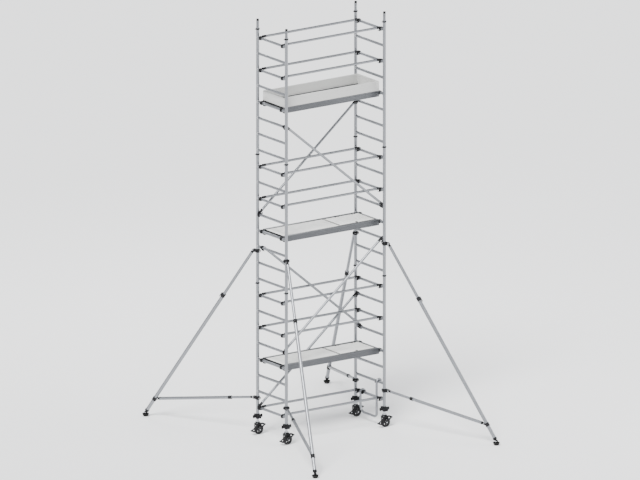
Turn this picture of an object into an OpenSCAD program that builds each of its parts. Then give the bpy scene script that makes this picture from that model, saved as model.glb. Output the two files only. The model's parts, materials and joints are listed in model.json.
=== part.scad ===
// Mobile tower scaffold. Three lifts of ladder frames stand on four adjustable castors
// and are held upright by four stabilisers. Three platforms with trapdoors hook on the rungs.
// Front is -Y, left is -X, and the ground is z = 0.

/* [Tower] */
// Distance between the posts along the platforms, axis to axis
bay_length = 1800; // [1500:50:2500]
// Distance between the two posts of a frame, axis to axis
frame_width = 750; // [700:10:850]
// Height of one ladder frame
frame_height = 2000; // [2000:250:2250]
// Height of the lowest frames' open ends above the ground
frame_bottom = 325; // [320:5:340]
// Outer diameter of a post
post_d = 48.3; // [48:0.1:50]
// Outer diameter of a rung
rung_d = 40; // [36:1:40]
// Distance between rungs
rung_pitch = 250; // [250:1:260]
// Height of a frame's first rung above its lower end
first_rung = 100; // [90:5:110]

/* [Braces] */
// Outer diameter of guardrails, base rails and diagonals
brace_d = 38; // [32:1:38]
// Thickness of a snap hook along its rung
hook_w = 30; // [20:1:32]

/* [Platforms] */
// Width of a platform over its side rails
platform_width = 560; // [540:5:570]
// Height of a side rail
rail_h = 90; // [80:5:100]
// Height of the toe boards
toe_board_h = 150; // [100:10:200]
// Share of the deck that is fixed, the rest being the trapdoor
fixed_share = 0.61; // [0.55:0.01:0.65]

/* [Castors] */
// Diameter of a castor wheel
wheel_d = 150; // [125:5:150]
// Width of a castor wheel
wheel_w = 40; // [32:1:42]
// Distance from the swivel axis to the axle
castor_trail = 20; // [10:1:25]

/* [Stabilisers] */
// Reach of a foot from its post along the platforms
reach_x = 764; // [600:2:900]
// Reach of a foot from its post across the platforms
reach_y = 1836; // [1500:2:2000]
// Height of the upper coupler
upper_coupler_z = 2855; // [2845:1:2860]
// Height of the lower coupler
lower_coupler_z = 570; // [555:1:585]
// Diameter of a foot over its rim
foot_rim_d = 104; // [90:2:120]
// Diameter of a foot's flat sole
foot_sole_d = 60; // [50:2:70]

/* [Hidden] */
$fn = 48;
gap = 0.1;          // between pieces welded or bolted together
clearance = 0.3;    // between pieces that move on each other
running = 0.05;     // radial play of a pin in its hole

post_x = bay_length / 2;
post_y = frame_width / 2;
post_r = post_d / 2;
post_wall = 2.9;
rung_r = rung_d / 2;
rung_wall = 2;
rungs_per_frame = 8;
levels = 3;
tower_top = frame_bottom + levels * frame_height;

spigot_r = post_r - post_wall - 0.35;
pressed_r = post_r - post_wall - running;   // the spigot's lower part, fixed in its post
spigot_bore = spigot_r - 2.5;
spigot_in = 125;
spigot_out = 105;
cap_h = 30;
cap_r = spigot_r - 0.5;

brace_r = brace_d / 2;
brace_wall = 1.6;
brace_rise = 20;    // a brace runs this far above the line between its two rungs
tube_start = 46;    // distance from a rung's axis to the tube's end
sleeve_end = 84;    // distance from a rung's axis to the end of a hook's sleeve
sleeve_r = brace_r + 2.5;
claw_r = 33;
claw_drop = 26;
jaw_r = rung_r + clearance;

// Rungs that carry a guardrail or base rail on both long sides
rail_rungs = [1, 6, 8, 14, 16, 22, 24];
guardrail_y = 288;
// Diagonals: y, rung at the left end, rung at the right end
diagonals = [[329, 1, 7], [247, 11, 5], [-329, 5, 11], [329, 13, 19], [-329, 19, 13]];

platform_rungs = [4, 12, 20];
rail_top = 36;      // above the rung's axis
rail_w = 45;
rail_end = post_x - 30;
rail_in_y = platform_width / 2 - rail_w;
beam = 30;          // square tube of the cross members
beam_wall = 2.5;
deck_h = 12;
deck_top = rail_top - 3;
deck_under = deck_top - deck_h;
split_x = -rail_end + 2 * rail_end * fixed_share;
split_gap = 3;
cross_pitch = 290;
cross_count = 3;
lid_end_x = rail_end - 25;
lid_front_y = -rail_in_y + 5;
hinge_y = rail_in_y - 12;
hinge_z = deck_top + 4;
lid_back_y = hinge_y - 8;
hinge_x = [438, 742];
knuckle_r = 4.2;
pin_r = 2.5;
toe_t = 20;

u_x = post_x - rung_r - 18.5;
u_r = 18;
u_wall = 2;
u_front_y = -229;
u_rear_y = 191;
u_bottom = 130;
u_front_bend = 60;
u_rear_bend = 100;
u_hook = 38.5;
u_claw_w = 32;      // black claw beside each leg of the bracket

wheel_r = wheel_d / 2;
spindle_r = 18;
spindle_top = frame_bottom + 300;
flange_z = 198;
crown_z = 164;
crown_t = 14;
crown_x = [-40, 52];
fork_w = 76;        // over the cheeks
cheek_t = 5;
axle_r = 6;
nut_h = 80;
nut_r = 32;
wing_l = 84;
pedal_low = [-86, 58];
pedal_high = [106, 148];
pedal_pivot = [-8, 96];
pedal_size = [30, 18];

leg_pin_r = 75;     // from the post's axis to a coupler's pin
reach = norm([reach_x, reach_y]);
foot_pivot_z = 62;
leg_top = [leg_pin_r, upper_coupler_z];
leg_foot = [reach, foot_pivot_z];
leg_run = leg_foot - leg_top;
leg_len = norm(leg_run);
leg_tilt = atan2(leg_run.x, -leg_run.y);
inner_leg_r = 22.5;
outer_leg_r = 27;
outer_from = 0.27 * leg_len;
tongue_l = 32;
tongue_t = 18;
ring_at = 0.916;
ring_point = leg_top + ring_at * leg_run;
brace_top = [leg_pin_r, lower_coupler_z];
brace_dir = (ring_point - brace_top) / norm(ring_point - brace_top);
brace_end = ring_point - 58 * brace_dir;
strut_len = norm(brace_end - brace_top);
strut_tilt = atan2(brace_end.x - brace_top.x, brace_top.y - brace_end.y);
strut_inner_r = 19;
strut_outer_r = 24;
strut_from = 0.23 * strut_len;

function rung_z(k) =
  frame_bottom + floor((k - 1) / rungs_per_frame) * frame_height
  + first_rung + ((k - 1) % rungs_per_frame) * rung_pitch;

// A hollow tube along +Z
module tube(r, wall, h) {
  difference() {
    cylinder(r = r, h = h);
    translate([0, 0, -1]) cylinder(r = r - wall, h = h + 2);
  }
}

// Children drawn along +Y in the XZ plane become a plate of thickness t across the Y axis
module plate_y(t) {
  rotate([90, 0, 0]) translate([0, 0, -t / 2]) linear_extrude(t) children();
}

module at_posts() {
  for (side = [-1, 1], face = [-1, 1]) translate([side * post_x, face * post_y, 0]) children();
}

// ---- Frames ----

module ladder_frame(side, level) {
  z0 = frame_bottom + level * frame_height;
  color("gainsboro") translate([side * post_x, 0, z0]) {
    for (face = [-1, 1]) translate([0, face * post_y, 0]) tube(post_r, post_wall, frame_height);
    for (k = [0 : rungs_per_frame - 1]) translate([0, 0, first_rung + k * rung_pitch]) rung();
  }
}

// A rung whose ends are cut to the curve of the posts
module rung() {
  difference() {
    rotate([90, 0, 0]) translate([0, 0, -post_y]) tube(rung_r, rung_wall, frame_width);
    for (face = [-1, 1])
      translate([0, face * post_y, -2 * rung_r]) cylinder(r = post_r + gap, h = 4 * rung_r);
  }
}

module frame_spigots() {
  color("silver") at_posts()
    for (level = [1 : levels])
      translate([0, 0, frame_bottom + level * frame_height]) difference() {
        union() {
          translate([0, 0, -spigot_in]) cylinder(r = pressed_r, h = spigot_in);
          cylinder(r = spigot_r, h = spigot_out);
        }
        translate([0, 0, -spigot_in - 1]) cylinder(r = spigot_bore, h = spigot_in + spigot_out + 2);
      }
}

module spigot_caps() {
  color("black") at_posts() translate([0, 0, tower_top + spigot_out]) {
    cylinder(r = cap_r, h = cap_h - 5);
    translate([0, 0, cap_h - 5]) cylinder(r1 = cap_r, r2 = cap_r - 5, h = 5);
    translate([0, 0, -15]) cylinder(r = spigot_bore - gap, h = 16);
  }
}

module locking_clips() {
  clip_h = 22;
  clip_t = 4;
  tab_l = 16;
  heights = [for (level = [1 : levels]) frame_bottom + level * frame_height + (level < levels ? 18 : -34)];
  color("black") at_posts() for (z = heights) translate([0, 0, z]) {
    rotate([0, 0, 30]) rotate_extrude(angle = 300)
      translate([post_r + gap, 0]) square([clip_t, clip_h]);
    translate([-post_r - clip_t - tab_l, -3, 4]) cube([tab_l + 1, 6, clip_h - 8]);
  }
}

// ---- Braces ----

// Places its children at the left rung with +X running to the right rung
module along_brace(y, left_rung, right_rung) {
  rise = rung_z(right_rung) - rung_z(left_rung);
  translate([-post_x, y, rung_z(left_rung)]) rotate([0, -atan2(rise, bay_length), 0]) children();
}

function brace_len(left_rung, right_rung) = norm([bay_length, rung_z(right_rung) - rung_z(left_rung)]);

module brace_tube(y, left_rung, right_rung) {
  along_brace(y, left_rung, right_rung) translate([tube_start, 0, brace_rise]) rotate([0, 90, 0])
    tube(brace_r, brace_wall, brace_len(left_rung, right_rung) - 2 * tube_start);
}

module brace_ends(y, left_rung, right_rung) {
  along_brace(y, left_rung, right_rung) {
    children();
    translate([brace_len(left_rung, right_rung), 0, 0]) mirror([1, 0, 0]) children();
  }
}

module every_brace_end() {
  for (k = rail_rungs, face = [-1, 1]) brace_ends(face * guardrail_y, k, k) children();
  for (d = diagonals) brace_ends(d[0], d[1], d[2]) children();
}

module guardrails() {
  color("gainsboro") for (k = rail_rungs, face = [-1, 1]) brace_tube(face * guardrail_y, k, k);
}

module diagonal_braces() {
  color("gainsboro") for (d = diagonals) brace_tube(d[0], d[1], d[2]);
}

// Outline of a claw of outer radius r that drops over a rung
module claw_outline(r) {
  difference() {
    union() {
      circle(r = r);
      translate([-r, -claw_drop]) square([2 * r, claw_drop]);
    }
    circle(r = jaw_r);
    translate([-jaw_r, -r - 1]) square([2 * jaw_r, r + 1]);
  }
}

// A claw with the sleeve that holds the end of a tube
module snap_hook() {
  sleeve_from = 24;
  difference() {
    union() {
      plate_y(hook_w) claw_outline(claw_r);
      translate([sleeve_from, 0, brace_rise]) rotate([0, 90, 0])
        cylinder(r = sleeve_r, h = sleeve_end - sleeve_from);
    }
    translate([tube_start - gap, 0, brace_rise]) rotate([0, 90, 0])
      cylinder(r = brace_r + gap, h = sleeve_end);
    rotate([90, 0, 0]) translate([0, 0, -claw_r]) cylinder(r = jaw_r, h = 2 * claw_r);
  }
}

module snap_hooks() {
  color("black") every_brace_end() snap_hook();
}

// The spring catch that closes a claw under its rung, with its finger tab
module latch() {
  plate_y(18) polygon([[-15, -21], [18, -21], [19.5, -26.5], [34, -26.5],
                       [58, -16], [60, -20], [36, -33], [-15, -29]]);
}

module hook_latches() {
  color("black") {
    every_brace_end() latch();
    for (k = platform_rungs) platform_corners(k) latch();
  }
}

// ---- Platforms ----

module at_rung(k) {
  translate([0, 0, rung_z(k)]) children();
}

module platform_corners(k) {
  for (side = [0, 1], face = [-1, 1]) at_rung(k) mirror([side, 0, 0])
    translate([-post_x, face * (platform_width - rail_w) / 2, 0]) children();
}

// Half of the section: a hollow rail with three grooves in its outer face at +Y
module rail_section() {
  wall = 3;
  groove = 3;
  difference() {
    translate([0, rail_top - rail_h]) square([rail_w, rail_h]);
    translate([wall, rail_top - rail_h + wall]) square([rail_w - 2 * wall - groove, rail_h - 2 * wall]);
    for (i = [1 : 3])
      translate([rail_w - groove, rail_top - rail_h + i * rail_h / 4 - 5]) square([groove + 1, 10]);
  }
}

module cross_tube(x) {
  translate([x - beam / 2, rail_in_y - gap, deck_under - beam]) rotate([90, 0, 0])
    linear_extrude(2 * (rail_in_y - gap)) difference() {
      square([beam, beam]);
      translate([beam_wall, beam_wall]) square([beam - 2 * beam_wall, beam - 2 * beam_wall]);
    }
}

module platform_frame(k) {
  ledge = 20;
  hatch_from = split_x + beam / 2 + gap;
  hatch_len = rail_end - beam - gap - hatch_from;
  color("darkgray") at_rung(k) {
    for (face = [0, 1]) mirror([0, face, 0]) translate([-rail_end, rail_in_y, 0])
      rotate([90, 0, 90]) linear_extrude(2 * rail_end) rail_section();
    for (x = [-rail_end + beam / 2, split_x, rail_end - beam / 2]) cross_tube(x);
    for (i = [1 : cross_count]) cross_tube(-rail_end + beam / 2 + i * cross_pitch);
    translate([hatch_from, -rail_in_y + gap, deck_under - 8]) cube([hatch_len, ledge, 8]);
    difference() {
      union() {
        translate([hatch_from, rail_in_y - 9, deck_under - 8]) cube([hatch_len, 9 - gap, 20]);
        for (x = hinge_x) {
          translate([x - 15, hinge_y, deck_top - 1]) cube([30, rail_in_y - gap - hinge_y, 5]);
          translate([x - 15, hinge_y, hinge_z]) rotate([0, 90, 0]) cylinder(r = knuckle_r, h = 30);
        }
      }
      for (x = hinge_x)
        translate([x - 16, hinge_y, hinge_z]) rotate([0, 90, 0]) cylinder(r = pin_r + running, h = 32);
    }
  }
}

module platform_claw() {
  plate_y(40) {
    claw_outline(claw_r - 3);
    difference() {
      translate([0, -claw_drop]) square([30 - gap, claw_drop + rail_top - 4]);
      circle(r = jaw_r);
      translate([-jaw_r, -claw_r]) square([2 * jaw_r, claw_r]);
    }
  }
}

module platform_claws() {
  color("black") for (k = platform_rungs) platform_corners(k) platform_claw();
}

module deck_panels() {
  color("whitesmoke") for (k = platform_rungs) at_rung(k)
    translate([-rail_end + 2, -rail_in_y + 0.5, deck_under])
      cube([split_x - split_gap + rail_end - 2, 2 * rail_in_y - 1, deck_h]);
}

module hatch(k) {
  lid_from = split_x + split_gap;
  leaf_l = 16;
  color("whitesmoke") at_rung(k) {
    translate([lid_from, lid_front_y, deck_under + clearance])
      cube([lid_end_x - lid_from, lid_back_y - lid_front_y, deck_h - clearance]);
    for (x = hinge_x) {
      for (dx = [-16 - leaf_l, 16]) {
        translate([x + dx, hinge_y - 26, deck_top - 0.5]) cube([leaf_l, 26, 2]);
        translate([x + dx, hinge_y, hinge_z]) rotate([0, 90, 0]) cylinder(r = knuckle_r, h = leaf_l);
      }
      translate([x - 32, hinge_y, hinge_z]) rotate([0, 90, 0]) cylinder(r = pin_r, h = 64);
    }
  }
}

module toe_boards() {
  z0 = rail_top + 0.2;
  side_y = platform_width / 2 - 24;
  color("whitesmoke") at_rung(platform_rungs[2]) {
    for (face = [0, 1]) mirror([0, face, 0])
      translate([-rail_end + 2, side_y, z0]) cube([2 * rail_end - 4, toe_t, toe_board_h]);
    for (side = [0, 1]) mirror([side, 0, 0])
      translate([rail_end - 2 - toe_t, -side_y + gap, z0]) cube([toe_t, 2 * side_y - 2 * gap, toe_board_h]);
  }
}

module toe_board_clips() {
  leg = 48;
  t = 2;
  out_x = rail_end - 2 + gap;
  out_y = platform_width / 2 - 24 + toe_t + gap;
  color("white") at_rung(platform_rungs[2]) for (side = [0, 1], face = [0, 1])
    mirror([side, 0, 0]) mirror([0, face, 0]) translate([0, 0, rail_top + 0.2]) {
      translate([out_x - leg, out_y, 0]) cube([leg + t, t, toe_board_h - 6]);
      translate([out_x, out_y - leg, 0]) cube([t, leg + t, toe_board_h - 6]);
    }
}

// ---- Access bracket: a bent tube hooked on the two lowest rungs of the right frame ----

module bracket_sweep(r, over) {
  translate([0, u_front_y, 0]) {
    translate([0, 0, u_bottom + u_front_bend]) cylinder(r = r, h = rung_z(2) - u_bottom - u_front_bend);
    translate([0, 0, rung_z(2)]) bracket_hook(r, over);
    translate([0, u_front_bend, u_bottom + u_front_bend]) rotate([90, 0, -90]) rotate([0, 0, -90])
      rotate_extrude(angle = 90) translate([u_front_bend, 0]) circle(r = r);
  }
  translate([0, u_front_y + u_front_bend, u_bottom]) rotate([-90, 0, 0])
    cylinder(r = r, h = u_rear_y - u_rear_bend - u_front_y - u_front_bend);
  translate([0, u_rear_y, 0]) {
    translate([0, -u_rear_bend, u_bottom + u_rear_bend]) rotate([90, 0, 90]) rotate([0, 0, -90])
      rotate_extrude(angle = 90) translate([u_rear_bend, 0]) circle(r = r);
    translate([0, 0, u_bottom + u_rear_bend]) cylinder(r = r, h = rung_z(1) - u_bottom - u_rear_bend);
    translate([0, 0, rung_z(1)]) bracket_hook(r, over);
  }
}

// Arc from the leg over the rung, which lies u_hook away towards +X
module bracket_hook(r, over) {
  translate([u_hook, 0, 0]) rotate([90, 0, 0]) rotate([0, 0, 20 - over])
    rotate_extrude(angle = 160 + over) translate([u_hook, 0]) circle(r = r);
}

module access_bracket() {
  color("gainsboro") translate([u_x, 0, 0]) difference() {
    bracket_sweep(u_r, 0);
    bracket_sweep(u_r - u_wall, 4);
  }
  color("black") for (leg = [[u_front_y, 2, 1], [u_rear_y, 1, -1]])
    translate([post_x, leg[0] + leg[2] * (u_r + gap + u_claw_w / 2), rung_z(leg[1])])
      plate_y(u_claw_w) claw_outline(claw_r);
}

// ---- Castors ----

module at_post(side, face) {
  translate([side * post_x, face * post_y, 0]) children();
}

module adjusting_nut(side, face) {
  top = frame_bottom - clearance;
  wing_t = 18;
  wing_h = 52;
  color("dimgray") at_post(side, face) difference() {
    union() {
      translate([0, 0, top - nut_h]) cylinder(r = nut_r, h = nut_h);
      for (a = [0, 90]) rotate([0, 0, a])
        translate([-wing_l, -wing_t / 2, top - nut_h / 2 - wing_h / 2]) cube([2 * wing_l, wing_t, wing_h]);
    }
    translate([0, 0, top - nut_h - 1]) cylinder(r = spindle_r + clearance, h = nut_h + 2);
  }
}

module spindle(side, face) {
  color("silver") at_post(side, face) {
    translate([0, 0, flange_z + 8]) tube(spindle_r, 4, spindle_top - flange_z - 8);
    translate([0, 0, flange_z + clearance]) cylinder(r = 30, h = 8);
    translate([0, 0, crown_z + 2]) cylinder(r = 8, h = flange_z - crown_z);
  }
}

module fork(side, face) {
  color("dimgray") at_post(side, face) difference() {
    union() {
      translate([0, 0, crown_z + crown_t]) cylinder(r = 34, h = flange_z - crown_z - crown_t);
      translate([crown_x[0], -fork_w / 2, crown_z]) cube([crown_x[1] - crown_x[0], fork_w, crown_t]);
      for (s = [0, 1]) mirror([0, s, 0]) translate([0, fork_w / 2 - cheek_t / 2, 0])
        plate_y(cheek_t) polygon([[crown_x[0], crown_z + 3], [crown_x[0] + 4, wheel_r + 16],
          [castor_trail - 20, wheel_r - 20], [castor_trail + 18, wheel_r - 20],
          [castor_trail + 24, wheel_r + 8], [crown_x[1], crown_z + 3]]);
      translate([castor_trail, fork_w / 2 + 6, wheel_r]) rotate([90, 0, 0])
        cylinder(r = axle_r, h = fork_w + 12);
      translate([pedal_pivot.x, fork_w / 2 + 5, pedal_pivot.y]) rotate([90, 0, 0])
        cylinder(r = 5, h = 5 + cheek_t);
      translate([pedal_pivot.x, -fork_w / 2 + cheek_t, pedal_pivot.y]) rotate([90, 0, 0])
        cylinder(r = 5, h = 5 + cheek_t);
    }
    translate([0, 0, crown_z - 1]) cylinder(r = 8 + running, h = flange_z - crown_z + 2);
  }
}

module wheel(side, face) {
  hub_w = fork_w - 2 * cheek_t - 2 * clearance;
  color("dimgray") at_post(side, face) translate([castor_trail, 0, wheel_r]) rotate([90, 0, 0])
    difference() {
      union() {
        translate([0, 0, -wheel_w / 2 + 4]) cylinder(r = wheel_r, h = wheel_w - 8);
        for (s = [0, 1]) mirror([0, 0, s]) translate([0, 0, wheel_w / 2 - 4])
          cylinder(r1 = wheel_r, r2 = wheel_r - 5, h = 4);
        translate([0, 0, -hub_w / 2]) cylinder(r = 16, h = hub_w);
      }
      translate([0, 0, -hub_w / 2 - 1]) cylinder(r = axle_r + running, h = hub_w + 2);
    }
}

// A rocking brake lever: two side bars outside the fork joined by a pedal at each end
module brake_pedal(side, face) {
  bar_t = 4;
  bar_y = fork_w / 2 + clearance + bar_t / 2;
  color("dimgray") at_post(side, face) {
    for (s = [0, 1]) mirror([0, s, 0]) translate([0, bar_y, 0]) plate_y(bar_t) difference() {
      polygon([pedal_low + [0, -8], pedal_pivot + [0, -17], [castor_trail, wheel_r - 22],
               [castor_trail + 24, wheel_r], pedal_high + [0, -8], pedal_high + [0, 8],
               pedal_pivot + [0, 17], pedal_low + [0, 8]]);
      translate(pedal_pivot) circle(r = 5 + running);
      axle_slot();
    }
    for (p = [pedal_low, pedal_high])
      translate([p.x - pedal_size.x / 2, -bar_y - bar_t / 2, p.y - pedal_size.y / 2])
        cube([pedal_size.x, 2 * bar_y + bar_t, pedal_size.y]);
  }
}

// Room for the axle's end as the lever rocks
module axle_slot() {
  translate([castor_trail, wheel_r]) circle(r = axle_r + 8);
}

// ---- Stabilisers ----

// Places its children at a post with +X pointing along the stabiliser's reach
module at_stabiliser(side, face) {
  at_post(side, face) rotate([0, 0, atan2(face * reach_y, side * reach_x)]) children();
}

// Places its children at a point of the stabiliser's plane with +Z running down a tube
module down_tube(p, tilt) {
  translate([p.x, 0, p.y]) rotate([0, 180 - tilt, 0]) children();
}

module coupler(z) {
  coupler_h = 54;
  ear_t = 9;
  color("dimgray") translate([0, 0, z]) {
    difference() {
      union() {
        translate([0, 0, -coupler_h / 2]) cylinder(r = post_r + 12, h = coupler_h);
        translate([-post_r - 24, -14, -14]) cube([24, 28, 28]);
        translate([-8, -post_r - 26, -18]) cube([16, 2 * post_r + 52, 36]);
        for (s = [0, 1]) mirror([0, s, 0]) translate([post_r, tongue_t / 2 + gap, -23])
          cube([leg_pin_r + 14 - post_r, ear_t, 46]);
      }
      translate([0, 0, -coupler_h / 2 - 1]) cylinder(r = post_r + clearance, h = coupler_h + 2);
    }
    translate([leg_pin_r, 24, 0]) rotate([90, 0, 0]) cylinder(r = 6, h = 48);
  }
}

module couplers(side, face) {
  at_stabiliser(side, face) {
    coupler(upper_coupler_z);
    coupler(lower_coupler_z);
  }
}

// Flat end of a tube with an eye for a pin, drawn from the pin down +Z
module tongue(width) {
  difference() {
    union() {
      plate_y(tongue_t) circle(r = width / 2);
      translate([-width / 2, -tongue_t / 2, 0]) cube([width, tongue_t, tongue_l + 1]);
    }
    rotate([90, 0, 0]) translate([0, 0, -tongue_t]) cylinder(r = 6 + running, h = 2 * tongue_t);
  }
}

module stabiliser_arm(side, face) {
  inner_len = outer_from + 900;
  wall = 2.5;
  overlap = 300;
  color("gainsboro") at_stabiliser(side, face) {
    down_tube(leg_top, leg_tilt) {
      tongue(28);
      translate([0, 0, tongue_l]) tube(inner_leg_r, wall, inner_len - tongue_l);
    }
    down_tube(brace_top, strut_tilt) {
      tongue(28);
      translate([0, 0, tongue_l]) tube(strut_inner_r, wall, strut_from + overlap - tongue_l);
      translate([0, 0, strut_from])
        tube(strut_outer_r, strut_outer_r - strut_inner_r - clearance, strut_len - tongue_l - strut_from);
      translate([0, 0, strut_len]) mirror([0, 0, 1]) tongue(28);
    }
    leg_ring();
  }
}

// The ring that joins the brace to the outer leg, which can slide through it
module leg_ring() {
  ring_h = 56;
  difference() {
    union() {
      down_tube(ring_point, leg_tilt) translate([0, 0, -ring_h / 2])
        cylinder(r = outer_leg_r + 8, h = ring_h);
      for (s = [0, 1]) mirror([0, s, 0]) down_tube(brace_end, strut_tilt)
        translate([-16, tongue_t / 2 + gap, -14]) cube([32, 7, 52]);
    }
    down_tube(ring_point, leg_tilt) translate([0, 0, -ring_h])
      cylinder(r = outer_leg_r + clearance, h = 2 * ring_h);
  }
  down_tube(brace_end, strut_tilt) rotate([90, 0, 0]) translate([0, 0, -22]) cylinder(r = 6, h = 44);
}

module outer_leg(side, face) {
  collar_h = 60;
  bore_r = inner_leg_r + clearance;
  color("gainsboro") at_stabiliser(side, face) down_tube(leg_top, leg_tilt) {
    translate([0, 0, outer_from]) tube(outer_leg_r, outer_leg_r - bore_r, leg_len - tongue_l - outer_from);
    translate([0, 0, outer_from]) tube(outer_leg_r + 6, outer_leg_r + 6 - bore_r, collar_h);
    translate([0, 0, leg_len - tongue_l - 28]) cylinder(r = outer_leg_r + 6, h = 28);
    translate([0, 0, leg_len]) mirror([0, 0, 1]) tongue(28);
  }
}

// A dished rubber shoe with the yoke that holds the leg's pin
module foot(side, face) {
  sole_r = foot_sole_d / 2;
  rim_r = foot_rim_d / 2;
  rim_z = 46;
  well_z = 20;
  yoke_t = 9;
  yoke_r = 20;
  dish = [[0, 0], [sole_r, 0], [sole_r + 6, 4], [rim_r - 3, rim_z - 20], [rim_r, rim_z - 6],
          [rim_r - 3, rim_z], [rim_r - 9, rim_z - 3], [sole_r + 4, well_z], [0, well_z]];
  color("black") at_stabiliser(side, face) translate([reach, 0, 0]) {
    rotate_extrude() polygon(dish);
    for (s = [0, 1]) mirror([0, s, 0]) translate([0, tongue_t / 2 + clearance + yoke_t / 2, 0])
      plate_y(yoke_t) {
        translate([-yoke_r, well_z - 1]) square([2 * yoke_r, foot_pivot_z - well_z + 1]);
        translate([0, foot_pivot_z]) circle(r = yoke_r);
      }
    translate([0, 24, foot_pivot_z]) rotate([90, 0, 0]) cylinder(r = 6, h = 48);
  }
}

ladder_frame(-1, 0);  // ladder_frame_lower_left
ladder_frame(1, 0);  // ladder_frame_lower_right
ladder_frame(-1, 1);  // ladder_frame_middle_left
ladder_frame(1, 1);  // ladder_frame_middle_right
ladder_frame(-1, 2);  // ladder_frame_upper_left
ladder_frame(1, 2);  // ladder_frame_upper_right
frame_spigots();
spigot_caps();
locking_clips();
guardrails();
diagonal_braces();
snap_hooks();
hook_latches();
platform_frame(platform_rungs[0]);  // platform_frame_lower
platform_frame(platform_rungs[1]);  // platform_frame_middle
platform_frame(platform_rungs[2]);  // platform_frame_upper
platform_claws();
deck_panels();
hatch(platform_rungs[0]);  // hatch_lower
hatch(platform_rungs[1]);  // hatch_middle
hatch(platform_rungs[2]);  // hatch_upper
toe_boards();
toe_board_clips();
access_bracket();
adjusting_nut(-1, -1);  // adjusting_nut_front_left
adjusting_nut(1, -1);  // adjusting_nut_front_right
adjusting_nut(-1, 1);  // adjusting_nut_rear_left
adjusting_nut(1, 1);  // adjusting_nut_rear_right
spindle(-1, -1);  // spindle_front_left
spindle(1, -1);  // spindle_front_right
spindle(-1, 1);  // spindle_rear_left
spindle(1, 1);  // spindle_rear_right
fork(-1, -1);  // fork_front_left
fork(1, -1);  // fork_front_right
fork(-1, 1);  // fork_rear_left
fork(1, 1);  // fork_rear_right
wheel(-1, -1);  // wheel_front_left
wheel(1, -1);  // wheel_front_right
wheel(-1, 1);  // wheel_rear_left
wheel(1, 1);  // wheel_rear_right
brake_pedal(-1, -1);  // brake_pedal_front_left
brake_pedal(1, -1);  // brake_pedal_front_right
brake_pedal(-1, 1);  // brake_pedal_rear_left
brake_pedal(1, 1);  // brake_pedal_rear_right
couplers(-1, -1);  // couplers_front_left
couplers(1, -1);  // couplers_front_right
couplers(-1, 1);  // couplers_rear_left
couplers(1, 1);  // couplers_rear_right
stabiliser_arm(-1, -1);  // stabiliser_arm_front_left
stabiliser_arm(1, -1);  // stabiliser_arm_front_right
stabiliser_arm(-1, 1);  // stabiliser_arm_rear_left
stabiliser_arm(1, 1);  // stabiliser_arm_rear_right
outer_leg(-1, -1);  // outer_leg_front_left
outer_leg(1, -1);  // outer_leg_front_right
outer_leg(-1, 1);  // outer_leg_rear_left
outer_leg(1, 1);  // outer_leg_rear_right
foot(-1, -1);  // foot_front_left
foot(1, -1);  // foot_front_right
foot(-1, 1);  // foot_rear_left
foot(1, 1);  // foot_rear_right
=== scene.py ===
import json
from contextlib import contextmanager
from math import atan2, cos, hypot, pi, radians, sin, sqrt

import bpy
from mathutils import Matrix, Vector


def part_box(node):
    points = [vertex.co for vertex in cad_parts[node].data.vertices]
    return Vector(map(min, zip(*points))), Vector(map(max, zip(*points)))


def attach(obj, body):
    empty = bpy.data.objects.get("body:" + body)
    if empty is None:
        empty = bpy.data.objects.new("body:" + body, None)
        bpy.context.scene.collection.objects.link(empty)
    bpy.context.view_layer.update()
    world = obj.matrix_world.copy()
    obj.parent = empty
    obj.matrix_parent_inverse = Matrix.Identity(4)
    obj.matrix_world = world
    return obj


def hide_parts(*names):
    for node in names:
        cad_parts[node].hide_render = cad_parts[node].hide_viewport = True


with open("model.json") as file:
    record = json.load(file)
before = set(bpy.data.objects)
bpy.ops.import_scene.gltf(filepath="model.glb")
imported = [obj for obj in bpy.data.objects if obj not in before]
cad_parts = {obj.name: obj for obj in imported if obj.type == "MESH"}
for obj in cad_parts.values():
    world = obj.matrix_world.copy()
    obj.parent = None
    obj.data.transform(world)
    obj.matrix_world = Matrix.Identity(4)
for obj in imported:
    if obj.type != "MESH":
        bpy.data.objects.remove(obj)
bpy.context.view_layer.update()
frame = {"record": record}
mm = 0.001


# Making pieces

def linked(obj):
    bpy.context.collection.objects.link(obj)
    return obj


def twin(obj):
    copy = linked(obj.copy())
    copy.data = obj.data.copy()
    return copy


def activate(obj):
    bpy.ops.object.select_all(action="DESELECT")
    obj.select_set(True)
    bpy.context.view_layer.objects.active = obj
    return obj


@contextmanager
def shaping(obj):
    activate(obj)
    bpy.ops.object.mode_set(mode="EDIT")
    bpy.ops.mesh.select_all(action="SELECT")
    yield
    bpy.ops.object.mode_set(mode="OBJECT")


def closeUp(obj):
    with shaping(obj):
        bpy.ops.mesh.remove_doubles(threshold=1e-6)
        bpy.ops.mesh.normals_make_consistent(inside=False)
    return obj


# A turned shape along Z: rings of (radius, height), in mm. A hollow one comes back to its first ring.
def turned(rings, sides=32, hollow=False):
    radius, height = rings[0]
    fill = "NOTHING" if hollow else "NGON"
    bpy.ops.object.select_all(action="DESELECT")
    bpy.ops.mesh.primitive_circle_add(vertices=sides, radius=radius * mm, location=(0, 0, height * mm),
                                      fill_type=fill)
    obj = bpy.context.object
    with shaping(obj):
        for nextRadius, nextHeight in rings[1:] + (rings[:1] if hollow else []):
            rise = (0, 0, (nextHeight - height) * mm)
            bpy.ops.mesh.extrude_region_move(TRANSFORM_OT_translate={"value": rise})
            grow = nextRadius / radius
            bpy.ops.transform.resize(value=(grow, grow, 1), center_override=(0, 0, nextHeight * mm))
            radius, height = nextRadius, nextHeight
    return closeUp(settle(obj))


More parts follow.
